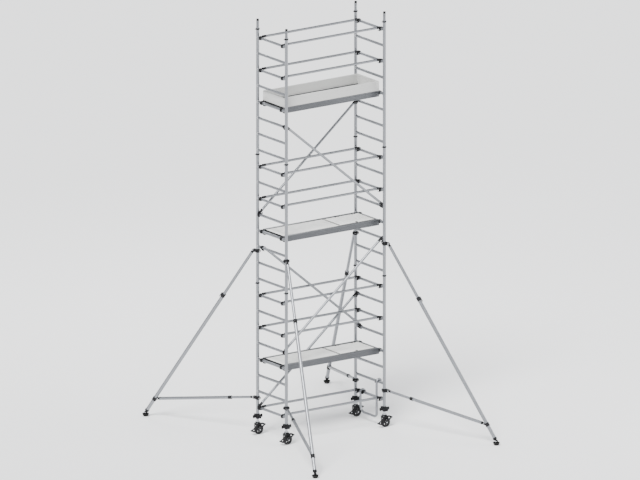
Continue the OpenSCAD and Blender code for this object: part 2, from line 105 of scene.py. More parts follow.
# Lines of points in mm, given the curve's settings and made a mesh
def traced(lines, closed=False, **settings):
    curve = bpy.data.curves.new("outline", "CURVE")
    for key, value in settings.items():
        setattr(curve, key, value)
    for points in lines:
        line = curve.splines.new("POLY")
        line.points.add(len(points) - 1)
        line.use_cyclic_u = closed
        for point, place in zip(line.points, points):
            point.co = (*[c * mm for c in place], 1)
    activate(linked(bpy.data.objects.new("outline", curve)))
    bpy.ops.object.convert(target="MESH")
    return bpy.context.object


# A flat outline in XY with its holes, in mm, given a thickness along Z and a small round on its edges
def plate(outlines, thick, edge=0.6):
    flat = [[(x, y, 0) for x, y in points] for points in outlines]
    return closeUp(traced(flat, True, dimensions="2D", fill_mode="BOTH", extrude=(thick / 2 - edge) * mm,
                          bevel_depth=edge * mm, bevel_resolution=1))


def block(size, centre, edge=1.0):
    bpy.ops.object.select_all(action="DESELECT")
    bpy.ops.mesh.primitive_cube_add(size=1, location=[c * mm for c in centre], scale=[s * mm for s in size])
    obj = settle(bpy.context.object)
    with shaping(obj):
        bpy.ops.mesh.bevel(offset=edge * mm, segments=2, affect="EDGES")
    return obj


def settle(obj):
    activate(obj)
    bpy.ops.object.transform_apply(location=True, rotation=True, scale=True)
    return obj


def arc(centre, radius, start, end, steps):
    turns = [radians(start + (end - start) * i / steps) for i in range(steps + 1)]
    return [(centre[0] + radius * cos(a), centre[1] + radius * sin(a)) for a in turns]


def ring(radius, steps=32, centre=(0, 0)):
    return arc(centre, radius, 0, 360 - 360 / steps, steps - 1)


# The rings given, then the same rings from the other end of the length
def mirrored(rings, length=0):
    return rings + [(radius, length - height) for radius, height in reversed(rings)]


def pipe(radius, wall, length, sides=32, rim=0.8):
    inner = radius - wall
    rings = mirrored([(radius - rim, 0), (radius, rim)], length)
    return turned(rings + [(inner, length), (inner, 0)], sides, hollow=True)


def rod(radius, length, sides=20, rim=0.8):
    return turned(mirrored([(radius - rim, 0), (radius, rim)], length), sides)


def hexBolt(across, head, length, shank):
    return turned([(shank, -length), (shank, 0), (across / 2, 0.3), (across / 2, head - 1),
                   (across / 2 - 1.5, head)], 6)


def dome(radius, height):
    return turned([(radius, 0), (radius * 0.92, height * 0.5), (radius * 0.6, height * 0.9),
                   (radius * 0.2, height)], 12)


def torus(major, minor, sides=24, around=8):
    bpy.ops.object.select_all(action="DESELECT")
    bpy.ops.mesh.primitive_torus_add(
        major_radius=major * mm, minor_radius=minor * mm, major_segments=sides, minor_segments=around)
    return bpy.context.object


# Where things go. Matrices hold metres, and the helpers take mm.

def shift(x, y, z):
    return Matrix.Translation((x * mm, y * mm, z * mm))


def turn(angle, axis):
    return Matrix.Rotation(radians(angle), 4, axis)


# +Z of the piece runs from start to end
def along(start, end):
    way = Vector(end) - Vector(start)
    return shift(*start) @ way.to_track_quat("Z", "Y").to_matrix().to_4x4()


# A place whose +Z points along Y, or against it when the way is -1
def facing(x, y, z, way=1):
    return shift(x, y, z) @ turn(-90 * way, "X")


def put(obj, matrix):
    obj.matrix_world = matrix @ obj.matrix_world
    return settle(obj)


# From flat in XY to standing in XZ
def upright(obj):
    return put(obj, turn(90, "X"))


# A rod along Y, half of it on each side of the XZ plane
def crossPin(radius, length, x, z, sides=16, rim=0.8):
    return put(rod(radius, length, sides, rim), facing(x, length / 2, z, -1))


def paint(obj, material):
    obj.data.materials.clear()
    obj.data.materials.append(material)
    return obj


def join(parts):
    activate(parts[0])
    for part in parts:
        part.select_set(True)
    bpy.ops.object.join()
    return bpy.context.object


# One copy, with its own mesh, for each matrix
def repeat(base, places):
    made = []
    for place in places:
        made.append(twin(base))
        made[-1].matrix_world = place @ base.matrix_world
    bpy.data.objects.remove(base)
    return settle(join(made))


def camel(node):
    first, *rest = node.split("_")
    return first + "".join(word.title() for word in rest)


def finishPiece(parts, node, body="tower"):
    piece = settle(join(parts))
    piece.name = piece.data.name = camel(node)
    bpy.ops.object.shade_smooth_by_angle(angle=radians(32))
    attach(piece, body)
    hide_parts(node)
    return piece


# Materials

class Socket:
    def __init__(self, finish, link):
        self.finish = finish
        self.link = link

    def maths(self, operation, first, second):
        return self.finish.add("ShaderNodeMath", {"operation": operation}, {0: first, 1: second})

    def __add__(self, other):
        return self.maths("ADD", self, other)

    def __radd__(self, other):
        return self.maths("ADD", other, self)

    def __sub__(self, other):
        return self.maths("SUBTRACT", self, other)

    def __rsub__(self, other):
        return self.maths("SUBTRACT", other, self)

    def __mul__(self, other):
        return self.maths("MULTIPLY", self, other)


class Finish:
    def __init__(self, name):
        self.material = bpy.data.materials.new(name)
        self.material.use_nodes = True
        self.tree = self.material.node_tree
        self.shader = self.tree.nodes["Principled BSDF"]

    # Settings first, then the values or links of the sockets, and the first or a named output comes back
    def add(self, kind, settings=None, sockets=None, output=0):
        node = self.tree.nodes.new(kind)
        for key, value in (settings or {}).items():
            setattr(node, key, value)
        for key, value in (sockets or {}).items():
            self.feed(node.inputs[key], value)
        return Socket(self, node.outputs[output])

    def feed(self, socket, value):
        if isinstance(value, Socket):
            self.tree.links.new(value.link, socket)
        else:
            socket.default_value = value

    def place(self, scale=(1, 1, 1)):
        where = self.add("ShaderNodeTexCoord", output="Object")
        return self.add("ShaderNodeMapping", None, {"Vector": where, "Scale": scale})

    def noise(self, scale, detail=3, stretch=(1, 1, 1), roughness=0.55):
        return self.add("ShaderNodeTexNoise", None, {
            "Vector": self.place(stretch), "Scale": scale, "Detail": detail, "Roughness": roughness})

    # Black up to low, white from high
    def ramp(self, value, low, high):
        node = self.tree.nodes.new("ShaderNodeValToRGB")
        for element, position in zip(node.color_ramp.elements, (low, high)):
            element.position = position
        self.feed(node.inputs["Fac"], value)
        return Socket(self, node.outputs[0])

    def patches(self, scale, detail, roughness, low, high):
        return self.ramp(self.noise(scale, detail, roughness=roughness), low, high)

    def mix(self, amount, first, second):
        node = self.tree.nodes.new("ShaderNodeMix")
        node.data_type = "RGBA"
        self.feed(node.inputs["Factor"], amount)
        for name, value in (("A", first), ("B", second)):
            socket = [s for s in node.inputs if s.name == name and s.type == "RGBA"][0]
            self.feed(socket, value if isinstance(value, Socket) else (*value, 1))
        return Socket(self, [s for s in node.outputs if s.type == "RGBA"][0])

    def bump(self, height, distance, strength=0.5):
        return self.add("ShaderNodeBump", None,
                        {"Height": height, "Distance": distance, "Strength": strength})

    def end(self, colour, roughness, metallic=0.0, normal=None, plain=None):
        self.feed(self.shader.inputs["Base Color"], colour if isinstance(colour, Socket) else (*colour, 1))
        self.feed(self.shader.inputs["Roughness"], roughness)
        self.feed(self.shader.inputs["Metallic"], metallic)
        if normal:
            self.feed(self.shader.inputs["Normal"], normal)
        for key, value in (plain or {}).items():
            self.shader.inputs[key].default_value = value
        return self.material


# Drawn or extruded aluminium: fine die lines along the tube, soft clouding and a few scuffs
def aluminium(name, tone, lines, roughness=0.36):
    f = Finish(name)
    streak = f.noise(lines[0], 2, lines[1])
    cloud = f.noise(2.3, 4)
    scuff = f.patches(38, 5, 0.7, 0.60, 0.72)
    dark = [c * 0.74 for c in tone]
    shade = f.mix(f.ramp(streak, 0.35, 0.65) * 0.45 + cloud * 0.3, dark, tone)
    colour = f.mix(scuff * 0.22, shade, [c * 0.55 for c in tone])
    rough = roughness + (streak - 0.5) * 0.22 + scuff * 0.18
    bump = f.bump(streak * 0.6 + scuff * 0.4, 0.0004, 0.35)
    return f.end(colour, rough, 0.92, bump)


def alongAxis(axis):
    fine, long = 420, 3
    return {"X": (1, (long, fine, fine)), "Y": (1, (fine, long, fine)), "Z": (1, (fine, fine, long))}[axis]


tubeTone = (0.31, 0.32, 0.34)
postMetal = aluminium("postAluminium", tubeTone, alongAxis("Z"))
rungMetal = aluminium("rungAluminium", tubeTone, alongAxis("Y"), 0.4)
railMetal = aluminium("braceAluminium", tubeTone, alongAxis("X"))
legMetal = aluminium("legAluminium", tubeTone, (1, (110, 110, 110)), 0.38)
extrusionMetal = aluminium("platformAluminium", (0.15, 0.155, 0.165), alongAxis("X"), 0.42)


def weldMetal():
    f = Finish("weldBead")
    ripple = f.noise(900, 2)
    tint = f.mix(f.noise(60, 3), (0.42, 0.42, 0.43), (0.68, 0.69, 0.70))
    return f.end(tint, 0.45 + ripple * 0.2, 0.9, f.bump(ripple, 0.0006, 0.6))


# Dull highlights, for the black parts
matt = {"Specular IOR Level": 0.18}


# Moulded black nylon: a fine spark-eroded grain, with paler rubbed patches
def nylon(name, tone, worn):
    f = Finish(name)
    grain = f.noise(1400, 2)
    rubbed = f.patches(26, 5, 0.65, 0.52, 0.74)
    colour = f.mix(rubbed * 0.6, tone, worn)
    return f.end(colour, 0.46 + grain * 0.16 - rubbed * 0.08, 0.0, f.bump(grain, 0.00025, 0.4), matt)


# Powder coat on castings: orange peel, with bare metal rubbed through in places
def powderCoat(name, tone):
    f = Finish(name)
    peel = f.noise(520, 2)
    chips = f.patches(70, 6, 0.75, 0.69, 0.73)
    dust = f.noise(9, 4)
    base = f.mix(dust * 0.35, tone, [c * 2.4 + 0.006 for c in tone])
    colour = f.mix(chips * 0.5, base, (0.30, 0.30, 0.31))
    return f.end(colour, 0.42 + peel * 0.14 + dust * 0.1, chips * 0.8,
                 f.bump(peel - chips * 0.5, 0.0004, 0.4), matt)


def zincSteel():
    f = Finish("zincSteel")
    spangle = f.add("ShaderNodeTexVoronoi", {"feature": "F1"}, {"Vector": f.place(), "Scale": 240.0}, "Color")
    grey = f.add("ShaderNodeRGBToBW", None, {"Color": spangle})
    colour = f.mix(grey, (0.44, 0.45, 0.47), (0.66, 0.67, 0.69))
    return f.end(colour, 0.28 + grey * 0.16, 0.95, f.bump(f.noise(300, 3), 0.0003, 0.3))


def rubber(name, tone, dusty):
    f = Finish(name)
    grain = f.noise(700, 3)
    dust = f.patches(16, 5, 0.7, 0.42, 0.75)
    colour = f.mix(dust * 0.55, tone, dusty)
    return f.end(colour, 0.68 + dust * 0.15, 0.0, f.bump(grain, 0.0005, 0.5), matt)


# Pale coated deck sheet: raised anti-slip lozenges, with a walked-on greying between them
def deckSheet():
    f = Finish("deckSheet")
    where = f.place()
    rows = f.add("ShaderNodeSeparateXYZ", None, {"Vector": where}, "X")
    columns = f.add("ShaderNodeSeparateXYZ", None, {"Vector": where}, "Y")
    wave = 2 * pi / 0.018
    one = f.add("ShaderNodeMath", {"operation": "SINE"}, {0: (rows + columns) * wave})
    two = f.add("ShaderNodeMath", {"operation": "SINE"}, {0: (rows - columns) * wave})
    lozenge = f.ramp(one * two * 0.5 + 0.5, 0.62, 0.80)
    walked = f.noise(7, 5, roughness=0.65)
    speck = f.noise(650, 2)
    base = f.mix(f.ramp(walked, 0.38, 0.68) * 0.5, (0.80, 0.80, 0.77), (0.62, 0.62, 0.60))
    colour = f.mix(lozenge * 0.45, base, (0.88, 0.88, 0.86))
    return f.end(colour, 0.6 - lozenge * 0.12 + speck * 0.1, 0.0, f.bump(lozenge + speck * 0.15, 0.0012, 0.7))


# Painted boards: long faint grain under a pale paint, knocked along the way
def paintedBoard():
    f = Finish("toeBoardPaint")
    grain = f.noise(1, 4, (3, 190, 190))
    knocks = f.patches(30, 6, 0.7, 0.66, 0.71)
    base = f.mix(f.ramp(grain, 0.35, 0.7) * 0.4, (0.54, 0.54, 0.525), (0.44, 0.44, 0.43))
    colour = f.mix(knocks * 0.5, base, (0.45, 0.42, 0.38))
    return f.end(colour, 0.48 + grain * 0.15, 0.0, f.bump(grain - knocks * 0.6, 0.0006, 0.5))


weld = weldMetal()
blackNylon = nylon("blackNylon", (0.006, 0.006, 0.007), (0.028, 0.028, 0.030))
capNylon = nylon("capNylon", (0.006, 0.006, 0.006), (0.024, 0.024, 0.025))
coatedCasting = powderCoat("blackPowderCoat", (0.007, 0.007, 0.008))
pedalCoat = powderCoat("pedalPowderCoat", (0.009, 0.009, 0.010))
zinc = zincSteel()
padRubber = rubber("footRubber", (0.006, 0.006, 0.006), (0.045, 0.044, 0.042))
tyreRubber = rubber("tyreRubber", (0.010, 0.010, 0.011), (0.055, 0.054, 0.052))
rimNylon = nylon("rimNylon", (0.03, 0.03, 0.032), (0.09, 0.09, 0.09))
deckFinish = deckSheet()
boardFinish = paintedBoard()
print("materials ready")


# The tower's own measures, in mm, from the frame

def boxOf(node):
    low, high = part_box(node)
    return low / mm, high / mm


def jointPlace(name):
    row = [j for j in frame["record"]["behaviour"]["joints"] if j["name"] == name][0]
    return Vector(row["pos_m"]) / mm


frameLow, frameHigh = boxOf("ladder_frame_lower_right")
tower = {
    "postX": (frameLow.x + frameHigh.x) / 2,
    "postRadius": (frameHigh.x - frameLow.x) / 2,
    "bottom": frameLow.z,
    "lift": frameHigh.z - frameLow.z,
    "rungRadius": 20, "pitch": 250, "firstRung": 100, "rungs": 8, "postWall": 2.9,
}
tower["postY"] = frameHigh.y - tower["postRadius"]
posts = {"front_left": (-1, -1), "front_right": (1, -1), "rear_left": (-1, 1), "rear_right": (1, 1)}
lifts = ("lower", "middle", "upper")


def rungHeight(k):
    level, step = divmod(k - 1, tower["rungs"])
    return tower["bottom"] + level * tower["lift"] + tower["firstRung"] + step * tower["pitch"]


def postPlaces(*heights):
    return [shift(side * tower["postX"], face * tower["postY"], z) for side, face in posts.values()
            for z in heights]


# Ladder frames

frameLooks = {"flutes": 24, "fluteDepth": 0.7, "rungWall": 2.2, "bead": 2.8}


def rungSection():
    steps = frameLooks["flutes"] * 3
    outer = []
    for i in range(steps):
        depth = frameLooks["fluteDepth"] if i % 3 == 0 else 0
        radius = tower["rungRadius"] - depth
        outer.append((radius * cos(2 * pi * i / steps), radius * sin(2 * pi * i / steps)))
    return [outer, ring(tower["rungRadius"] - frameLooks["rungWall"], 24)]


# A bead round a rung's end, bent to the curve of the post. The rung runs along Z here, and the post along Y.
def weldBead():
    bead = torus(tower["rungRadius"] + 0.6, frameLooks["bead"], 24, 6)
    reach = tower["postRadius"] * mm
    for vertex in bead.data.vertices:
        across = min(abs(vertex.co.x), reach * 0.995)
        vertex.co.z += reach - sqrt(reach * reach - across * across)
    return paint(bead, weld)


def ladderFrame(lift, side):
    node = "ladder_frame_" + lift + ("_left" if side < 0 else "_right")
    base = tower["bottom"] + lifts.index(lift) * tower["lift"]
    x, y = side * tower["postX"], tower["postY"]
    heights = [base + tower["firstRung"] + k * tower["pitch"] for k in range(tower["rungs"])]
    post = paint(pipe(tower["postRadius"], tower["postWall"], tower["lift"], 40), postMetal)
    twoPosts = repeat(post, [shift(x, face * y, base) for face in (-1, 1)])
    span = 2 * (y - tower["postRadius"]) + 3
    rung = paint(plate(rungSection(), span, 0.2), rungMetal)
    rungs = repeat(rung, [facing(x, 0, z, -1) for z in heights])
    inner = y - tower["postRadius"]
    beads = repeat(weldBead(), [facing(x, face * inner, z, face) for z in heights for face in (-1, 1)])
    return finishPiece([twoPosts, rungs, beads], node)


for lift in lifts:
    for side in (-1, 1):
        ladderFrame(lift, side)
print("ladder frames ready")


# Spigots, their caps and the locking clips

joints = {"pressed": 21.2, "free": 20.9, "bore": 18.4, "below": 125, "above": 105, "cap": 30,
          "capRadius": 20.4,
          "clipHeight": 22, "clipThick": 4}
tops = [tower["bottom"] + (i + 1) * tower["lift"] for i in range(3)]


def spigots():
    pressed, free, bore, low, high = (joints[k] for k in ("pressed", "free", "bore", "below", "above"))
    rings = [(pressed - 1.5, -low), (pressed, -low + 2), (pressed, -0.5), (free, 0.5), (free, high - 2),
             (free - 1.2, high),
             (bore, high), (bore, -low)]
    sleeve = paint(turned(rings, 36, hollow=True), postMetal)
    # A sprung button on the inner side, and the hole for a frame pin on the other
    button = put(dome(5, 3), facing(0, 0, 55, -1) @ shift(0, 0, free - 0.5))
    eyelet = put(torus(5, 1.2, 20, 6), facing(0, 0, 55) @ shift(0, 0, free - 0.2))
    pins = paint(join([button, eyelet]), zinc)
    whole = repeat(join([sleeve, pins]), postPlaces(*tops))
    return finishPiece([whole], "frame_spigots")


def spigotCaps():
    r, h, bore = joints["capRadius"], joints["cap"], joints["bore"] - 0.2
    rings = [(bore - 1, -15), (bore, -13), (bore, 0), (r - 0.6, 0), (r, 0.6), (r, 7), (r - 1, 8), (r - 1, 10),
             (r, 11),
             (r, h - 7), (r - 1.4, h - 3.4), (r - 4.6, h - 0.6), (r - 10, h)]
    cap = paint(turned(rings, 36), capNylon)
    whole = repeat(cap, postPlaces(tops[2] + joints["above"]))
    return finishPiece([whole], "spigot_caps")


def lockingClips():
    inner, thick, high = tower["postRadius"] + 0.1, joints["clipThick"], joints["clipHeight"]
    outline = arc((0, 0), inner + thick - 0.6, 30, 330, 40) + arc((0, 0), inner + 0.6, 330, 30, 40)
    band = put(plate([outline], high, 0.6), shift(0, 0, high / 2))
    tab = block((17, 6, 14), (-inner - thick - 7, 0, 11), 1.5)
    thumb = put(rod(7, 4, 20, 1), facing(-inner - thick - 15, -5, 11, -1) @ shift(0, 0, -7))
    lips = [block((7, 3, high - 2), (inner * 0.84 + 4, s * (inner * 0.56 + 1.5), high / 2), 0.8)
            for s in (-1, 1)]
    clip = paint(join([band, tab, thumb] + lips), blackNylon)
    heights = [tops[0] + 18, tops[1] + 18, tops[2] - 34]
    return finishPiece([repeat(clip, postPlaces(*heights))], "locking_clips")


spigots()
spigotCaps()
lockingClips()
print("joints between the frames ready")


# Guardrails, base rails and diagonals, with a snap hook at each end

brace = {"radius": 19, "wall": 1.6, "rise": 20, "start": 46, "railY": 288, "rungs": (1, 6, 8, 14, 16, 22, 24),
         "diagonals": ((329, 1, 7), (247, 11, 5), (-329, 5, 11), (329, 13, 19), (-329, 19, 13))}
hook = {"outer": 33, "jaw": 20.3, "drop": 26, "wide": 30, "web": 21, "rim": 4, "sleeve": 21.5,
        "sleeveFrom": 24,
        "sleeveEnd": 84, "spokes": (35, 90, 145)}


# The frame of a brace: origin on the left rung, +X towards the right rung
def braceFrame(y, left, right):
    rise = rungHeight(right) - rungHeight(left)
    run = 2 * tower["postX"]
    slope = Matrix.Rotation(-atan2(rise, run), 4, "Y")
    return shift(-tower["postX"], y, rungHeight(left)) @ slope, hypot(rise, run)


def braceTube(length):
    r, inner = brace["radius"], length - 2 * brace["start"]
    tube = pipe(r, brace["wall"], inner, 28, 0.6)
    rivets = [put(dome(3.4, 1.4), shift(0, 0, z) @ turn(90 * s, "Y") @ shift(0, 0, r - 0.3))
              for z in (14, inner - 14) for s in (-1, 1)]
    return put(join([tube] + rivets), shift(brace["start"], 0, brace["rise"]) @ turn(90, "Y"))


def braces(rows, node, material):
    parts = []
    for row in rows:
        place, length = braceFrame(*row)
        parts.append(put(paint(braceTube(length), material), place))
    return finishPiece(parts, node)


railRows = [(face * brace["railY"], k, k) for k in brace["rungs"] for face in (-1, 1)]
braces(railRows, "guardrails", railMetal)
braces(brace["diagonals"], "diagonal_braces", legMetal)


def clawOutline(outer, jaw, drop, nose=3):
    left = [(-jaw, -drop + nose), (-jaw - nose * 0.4, -drop), (-outer + nose, -drop), (-outer, -drop + nose)]
    right = [(outer, -drop + nose), (outer - nose, -drop), (jaw + nose * 0.4, -drop), (jaw, -drop + nose)]
    return left + arc((0, 0), outer, 180, 0, 28) + right + arc((0, 0), jaw, 0, 180, 24)


# The pocket moulded into both cheeks of a claw
def clawPocket(outer, jaw, rim):
    return arc((0, 0), outer - rim, 192, -12, 26) + arc((0, 0), jaw + rim, -12, 192, 22)


def pocketedClaw(outer, wide, web):
    jaw, drop, rim = hook["jaw"] + 0.4, hook["drop"] - 0.8, hook["rim"]
    outer -= 0.8
    frameRing = upright(plate([clawOutline(outer, jaw, drop), clawPocket(outer, jaw, rim)], wide, 1.1))
    core = upright(plate([clawPocket(outer, jaw, rim - 1)], web, 0.4))
    spoke = block((outer - jaw - 3, wide - 2.5, 2.4), ((outer + jaw) / 2, 0, 0), 0.6)
    return join([frameRing, core, repeat(spoke, [turn(-angle, "Y") for angle in hook["spokes"]])])


def snapHook():
    h = hook
    claw = pocketedClaw(h["outer"], h["wide"], h["web"])
    r, start, end, bore = h["sleeve"], h["sleeveFrom"], h["sleeveEnd"], brace["radius"] + 0.15
    long = end - start
    rings = [(r - 6, 0), (r - 1.5, 2), (r - 1.5, 6), (r, 8), (r, 14), (r - 1.5, 16), (r - 1.5, long - 16),
             (r, long - 14),
             (r, long - 1.5), (r - 1.2, long), (bore, long), (bore, brace["start"] - start),
             (bore - 8, brace["start"] - start)]
    sleeve = put(turned(rings, 32), shift(start, 0, brace["rise"]) @ turn(90, "Y"))
    rib = upright(plate([[(26, 3), (60, 1.5), (68, 4), (68, 12), (30, 12)]], 6, 1.0))
    body = paint(join([claw, sleeve, rib]), blackNylon)
    pivot = crossPin(3.4, h["wide"] + 3, 26.5, -14)
    rivets = [put(dome(4.2, 1.8), facing(66, 0, brace["rise"], -k) @ shift(0, 0, r - 1.9)) for k in (-1, 1)]
    return [body, paint(join([pivot] + rivets), zinc)]


def catch():
    outline = [(-14, -21.6), (-6, -21.2), (8, -21.2), (17.6, -21.4), (19.2, -26.6), (34, -26.6), (46, -21.5),
               (57.5, -16.2),
               (60.5, -17), (60, -20.4), (48, -27), (37, -33), (30, -34), (8, -31), (-13, -29.4),
               (-15.6, -27), (-15.6, -23)]
    lever = upright(plate([outline], 18, 1.0))
    ribs = [block((1.6, 15, 1.6), (49 + 3.2 * i, 0, -20.3 + 1.35 * i), 0.4) for i in range(3)]
    return paint(join([lever] + ribs), blackNylon)


def braceEnds():
    places = []
    for row in railRows + list(brace["diagonals"]):
        place, length = braceFrame(*row)
        places += [place, place @ shift(length, 0, 0) @ turn(180, "Z")]
    return places


platform = {"trim": 12, "width": 560, "railWide": 45, "railHigh": 90, "railTop": 36, "inset": 30, "beam": 30,
            "beamWall": 2.5,
            "deckDown": 3, "deckThick": 12, "fixedShare": 0.61, "rungs": (4, 12, 20), "hinges": (438, 742)}


def platformCorners(k):
    y = (platform["width"] - platform["railWide"]) / 2
    return [shift(side * tower["postX"], face * y, rungHeight(k)) @ turn(0 if side < 0 else 180, "Z")
            for side in (-1, 1) for face in (-1, 1)]


finishPiece([repeat(join(snapHook()), braceEnds())], "snap_hooks")
catchPlaces = braceEnds() + [place for k in platform["rungs"] for place in platformCorners(k)]
finishPiece([repeat(catch(), catchPlaces)], "hook_latches")
print("rails, diagonals and hooks ready")


# Platforms

railEnd = tower["postX"] - platform["inset"]
railInner = platform["width"] / 2 - platform["railWide"]
railMiddle = platform["railTop"] - platform["railHigh"] / 2
deckTop = platform["railTop"] - platform["deckDown"]
deckUnder = deckTop - platform["deckThick"]
splitX = -railEnd + 2 * railEnd * platform["fixedShare"]
hingeY, hingeZ = railInner - 12, deckTop + 4
lidX = (splitX + 3, railEnd - 25)
lidY = (-railInner + 5, hingeY - 8)


# Lays a section along X: its x becomes Y, and its y becomes Z
alongX = turn(90, "Z") @ turn(90, "X")


# Section of a side rail, its outer face at +X with three grooves between rounded ribs
def railOutline():
    low, high, wide = platform["railTop"] - platform["railHigh"], platform["railTop"], platform["railWide"]
    pitch = platform["railHigh"] / 4
    outer = [(1, low), (wide - 1.5, low), (wide, low + 1.5)]
    for i in (1, 2, 3):
        z = low + i * pitch
        outer += [(wide, z - 6), (wide - 0.8, z - 5), (wide - 3, z - 4), (wide - 3, z + 4),
                  (wide - 0.8, z + 5), (wide, z + 6)]
    outer += [(wide, high - 1.5), (wide - 1.5, high), (1, high), (0, high - 1), (0, low + 1)]
    wall, mid = 3, (low + high) / 2
    upper = [(wall, mid + 1.5), (wide - 6, mid + 1.5), (wide - 6, high - wall), (wall, high - wall)]
    lower = [(wall, low + wall), (wide - 6, low + wall), (wide - 6, mid - 1.5), (wall, mid - 1.5)]
    return [outer, upper, lower]


def squareTube(length):
    half = platform["beam"] / 2
    outer = [(-half, -half), (half, -half), (half, half), (-half, half)]
    inner = [(x * (1 - platform["beamWall"] / half), y * (1 - platform["beamWall"] / half)) for x, y in outer]
    return plate([outer, inner], length, 0.5)


def platformFrame(lift, k):
    node = "platform_frame_" + lift
    z = rungHeight(k)
    rail = put(plate(railOutline(), 2 * railEnd - 1, 0.4), shift(0, railInner, 0) @ alongX)
    rails = repeat(rail, [shift(0, 0, z), shift(0, 0, z) @ turn(180, "Z")])
    half = platform["beam"] / 2
    xs = [-railEnd + half, splitX, railEnd - half] + [-railEnd + half + 290 * i for i in (1, 2, 3)]
    beams = repeat(squareTube(2 * railInner - 1), [facing(x, 0, z + deckUnder - half, -1) for x in xs])
    start, stop = splitX + half + 1, railEnd - 2 * half - 1
    middle, length = (start + stop) / 2, stop - start
    ledge = block((length, 20, 8), (middle, -railInner + 10.1, z + deckUnder - 4), 0.8)
    strip = block((length, 8.6, 20), (middle, railInner - 4.5, z + deckUnder + 2), 0.8)
    parts = [rails, beams, ledge, strip]
    rivetPlaces = [facing(x, s * platform["width"] / 2, z + railMiddle, s) @ shift(0, 0, -3.2)
                   for x in xs for s in (-1, 1)]
    parts.append(repeat(dome(4, 1.6), rivetPlaces))
    for x in platform["hinges"]:
        knuckle = put(pipe(4.2, 1.6, 30, 16, 0.3), shift(x - 15, hingeY, z + hingeZ) @ turn(90, "Y"))
        leaf = block((30, railInner - 0.5 - hingeY - 3, 4),
                     (x, (railInner - 0.5 + hingeY + 3) / 2, z + deckTop + 1.5), 0.5)
        parts += [knuckle, leaf]
    body = paint(join(parts), extrusionMetal)
    ends = []
    for side in (-1, 1):
        for face in (-1, 1):
            cover = block((3, platform["railWide"] - 1, platform["railHigh"] - 1),
                          (side * (railEnd + 0.8), face * (railInner + platform["railWide"] / 2),
                           z + railMiddle), 1)
            ends.append(paint(cover, blackNylon))
    return finishPiece([body] + ends, node)


def platformClaw():
    outer = hook["outer"] - 3
    claw = pocketedClaw(outer, 40, 30)
    back = block((8, 39.6, hook["drop"] + 30), (25.7, 0, (30.5 - hook["drop"]) / 2), 1.2)
    bolts = [put(hexBolt(9, 4, 6, 2.5), facing(16, s * 18.4, 24.5, s) @ shift(0, 0, -3)) for s in (-1, 1)]
    return join([paint(join([claw, back]), blackNylon)] + [paint(b, zinc) for b in bolts])


def deckScrews(x0, x1, z, rows):
    places = []
    for i in range(rows):
        x = x0 + (x1 - x0) * i / (rows - 1)
        places += [shift(x, s * (railInner - 12), z) for s in (-1, 1)]
    return paint(repeat(dome(4.5, 1.2), places), zinc)


def deckPanels():
    parts = []
    for k in platform["rungs"]:
        x0, x1, z = -railEnd + 2, splitX - 3, rungHeight(k)
        trim, thick, half = platform["trim"], platform["deckThick"], railInner - 0.5
        mid, middle = z + deckTop - thick / 2, (x0 + x1) / 2
        sheet = block((x1 - x0 - 2 * trim, 2 * half - 2 * trim, thick - 0.6), (middle, 0, mid), 0.8)
        parts.append(paint(sheet, deckFinish))
        border = [block((trim, 2 * half, thick), (x, 0, mid), 1.2) for x in (x0 + trim / 2, x1 - trim / 2)]
        border += [block((x1 - x0 - 2, trim, thick), (middle, y, mid), 1.2)
                   for y in (-half + trim / 2, half - trim / 2)]
        parts.append(paint(join(border), blackNylon))
        parts.append(deckScrews(x0 + 25, x1 - 25, z + deckTop - 0.2, 5))
    return finishPiece(parts, "deck_panels")


def hatch(lift, k):
    node, z = "hatch_" + lift, rungHeight(k)
    (x0, x1), (y0, y1) = lidX, lidY
    cx, cy, mid = (x0 + x1) / 2, (y0 + y1) / 2, z + deckTop - platform["deckThick"] / 2 + 0.15
    parts = [paint(block((x1 - x0, y1 - y0, platform["deckThick"] - 0.3), (cx, cy, mid), 1.2), deckFinish)]
    edge = [block((x1 - x0 - 4, 14, 1.6), (cx, y0 + 9, z + deckTop + 0.4), 0.5),
            *[block((14, y1 - y0 - 30, 1.6), (x, cy, z + deckTop + 0.4), 0.5) for x in (x0 + 9, x1 - 9)]]
    for x in platform["hinges"]:
        for dx in (-24, 24):
            edge.append(block((16, 24, 2), (x + dx, hingeY - 14, z + deckTop + 0.6), 0.5))
            edge.append(put(rod(4.2, 16, 16, 0.4), shift(x + dx - 8, hingeY, z + hingeZ) @ turn(90, "Y")))
            edge.append(put(dome(2.6, 1), shift(x + dx, hingeY - 18, z + deckTop + 1.4)))
        edge.append(put(rod(2.5, 68, 12, 0.3), shift(x - 34, hingeY, z + hingeZ) @ turn(90, "Y")))
    parts.append(paint(join(edge), blackNylon))
    # Finger pull: a rim round a dished plate near the front edge
    pull = [put(torus(19, 2.0, 28, 8), shift(cx, y0 + 42, z + deckTop + 0.6)),
            put(rod(17.5, 1.0, 28, 0.3), shift(cx, y0 + 42, z + deckTop - 0.1)),
            block((34, 6, 3), (cx, y0 + 42, z + deckTop + 1.8), 1.0)]
    parts.append(paint(join(pull), blackNylon))
    return finishPiece(parts, node, "trapdoor_" + lift)


for lift, k in zip(lifts, platform["rungs"]):
    platformFrame(lift, k)
    hatch(lift, k)
deckPanels()
clawPlaces = [place for k in platform["rungs"] for place in platformCorners(k)]
finishPiece([repeat(platformClaw(), clawPlaces)], "platform_claws")
print("platforms ready")


# Toe boards and their corner clips

toe = {"high": 150, "thick": 20, "lift": 0.2, "grooves": (0.3, 0.7), "clipLeg": 48, "clipThick": 2,
       "screws": (30, 115)}
toeBottom = rungHeight(platform["rungs"][2]) + platform["railTop"] + toe["lift"]
turnedRound = [Matrix.Identity(4), turn(180, "Z")]


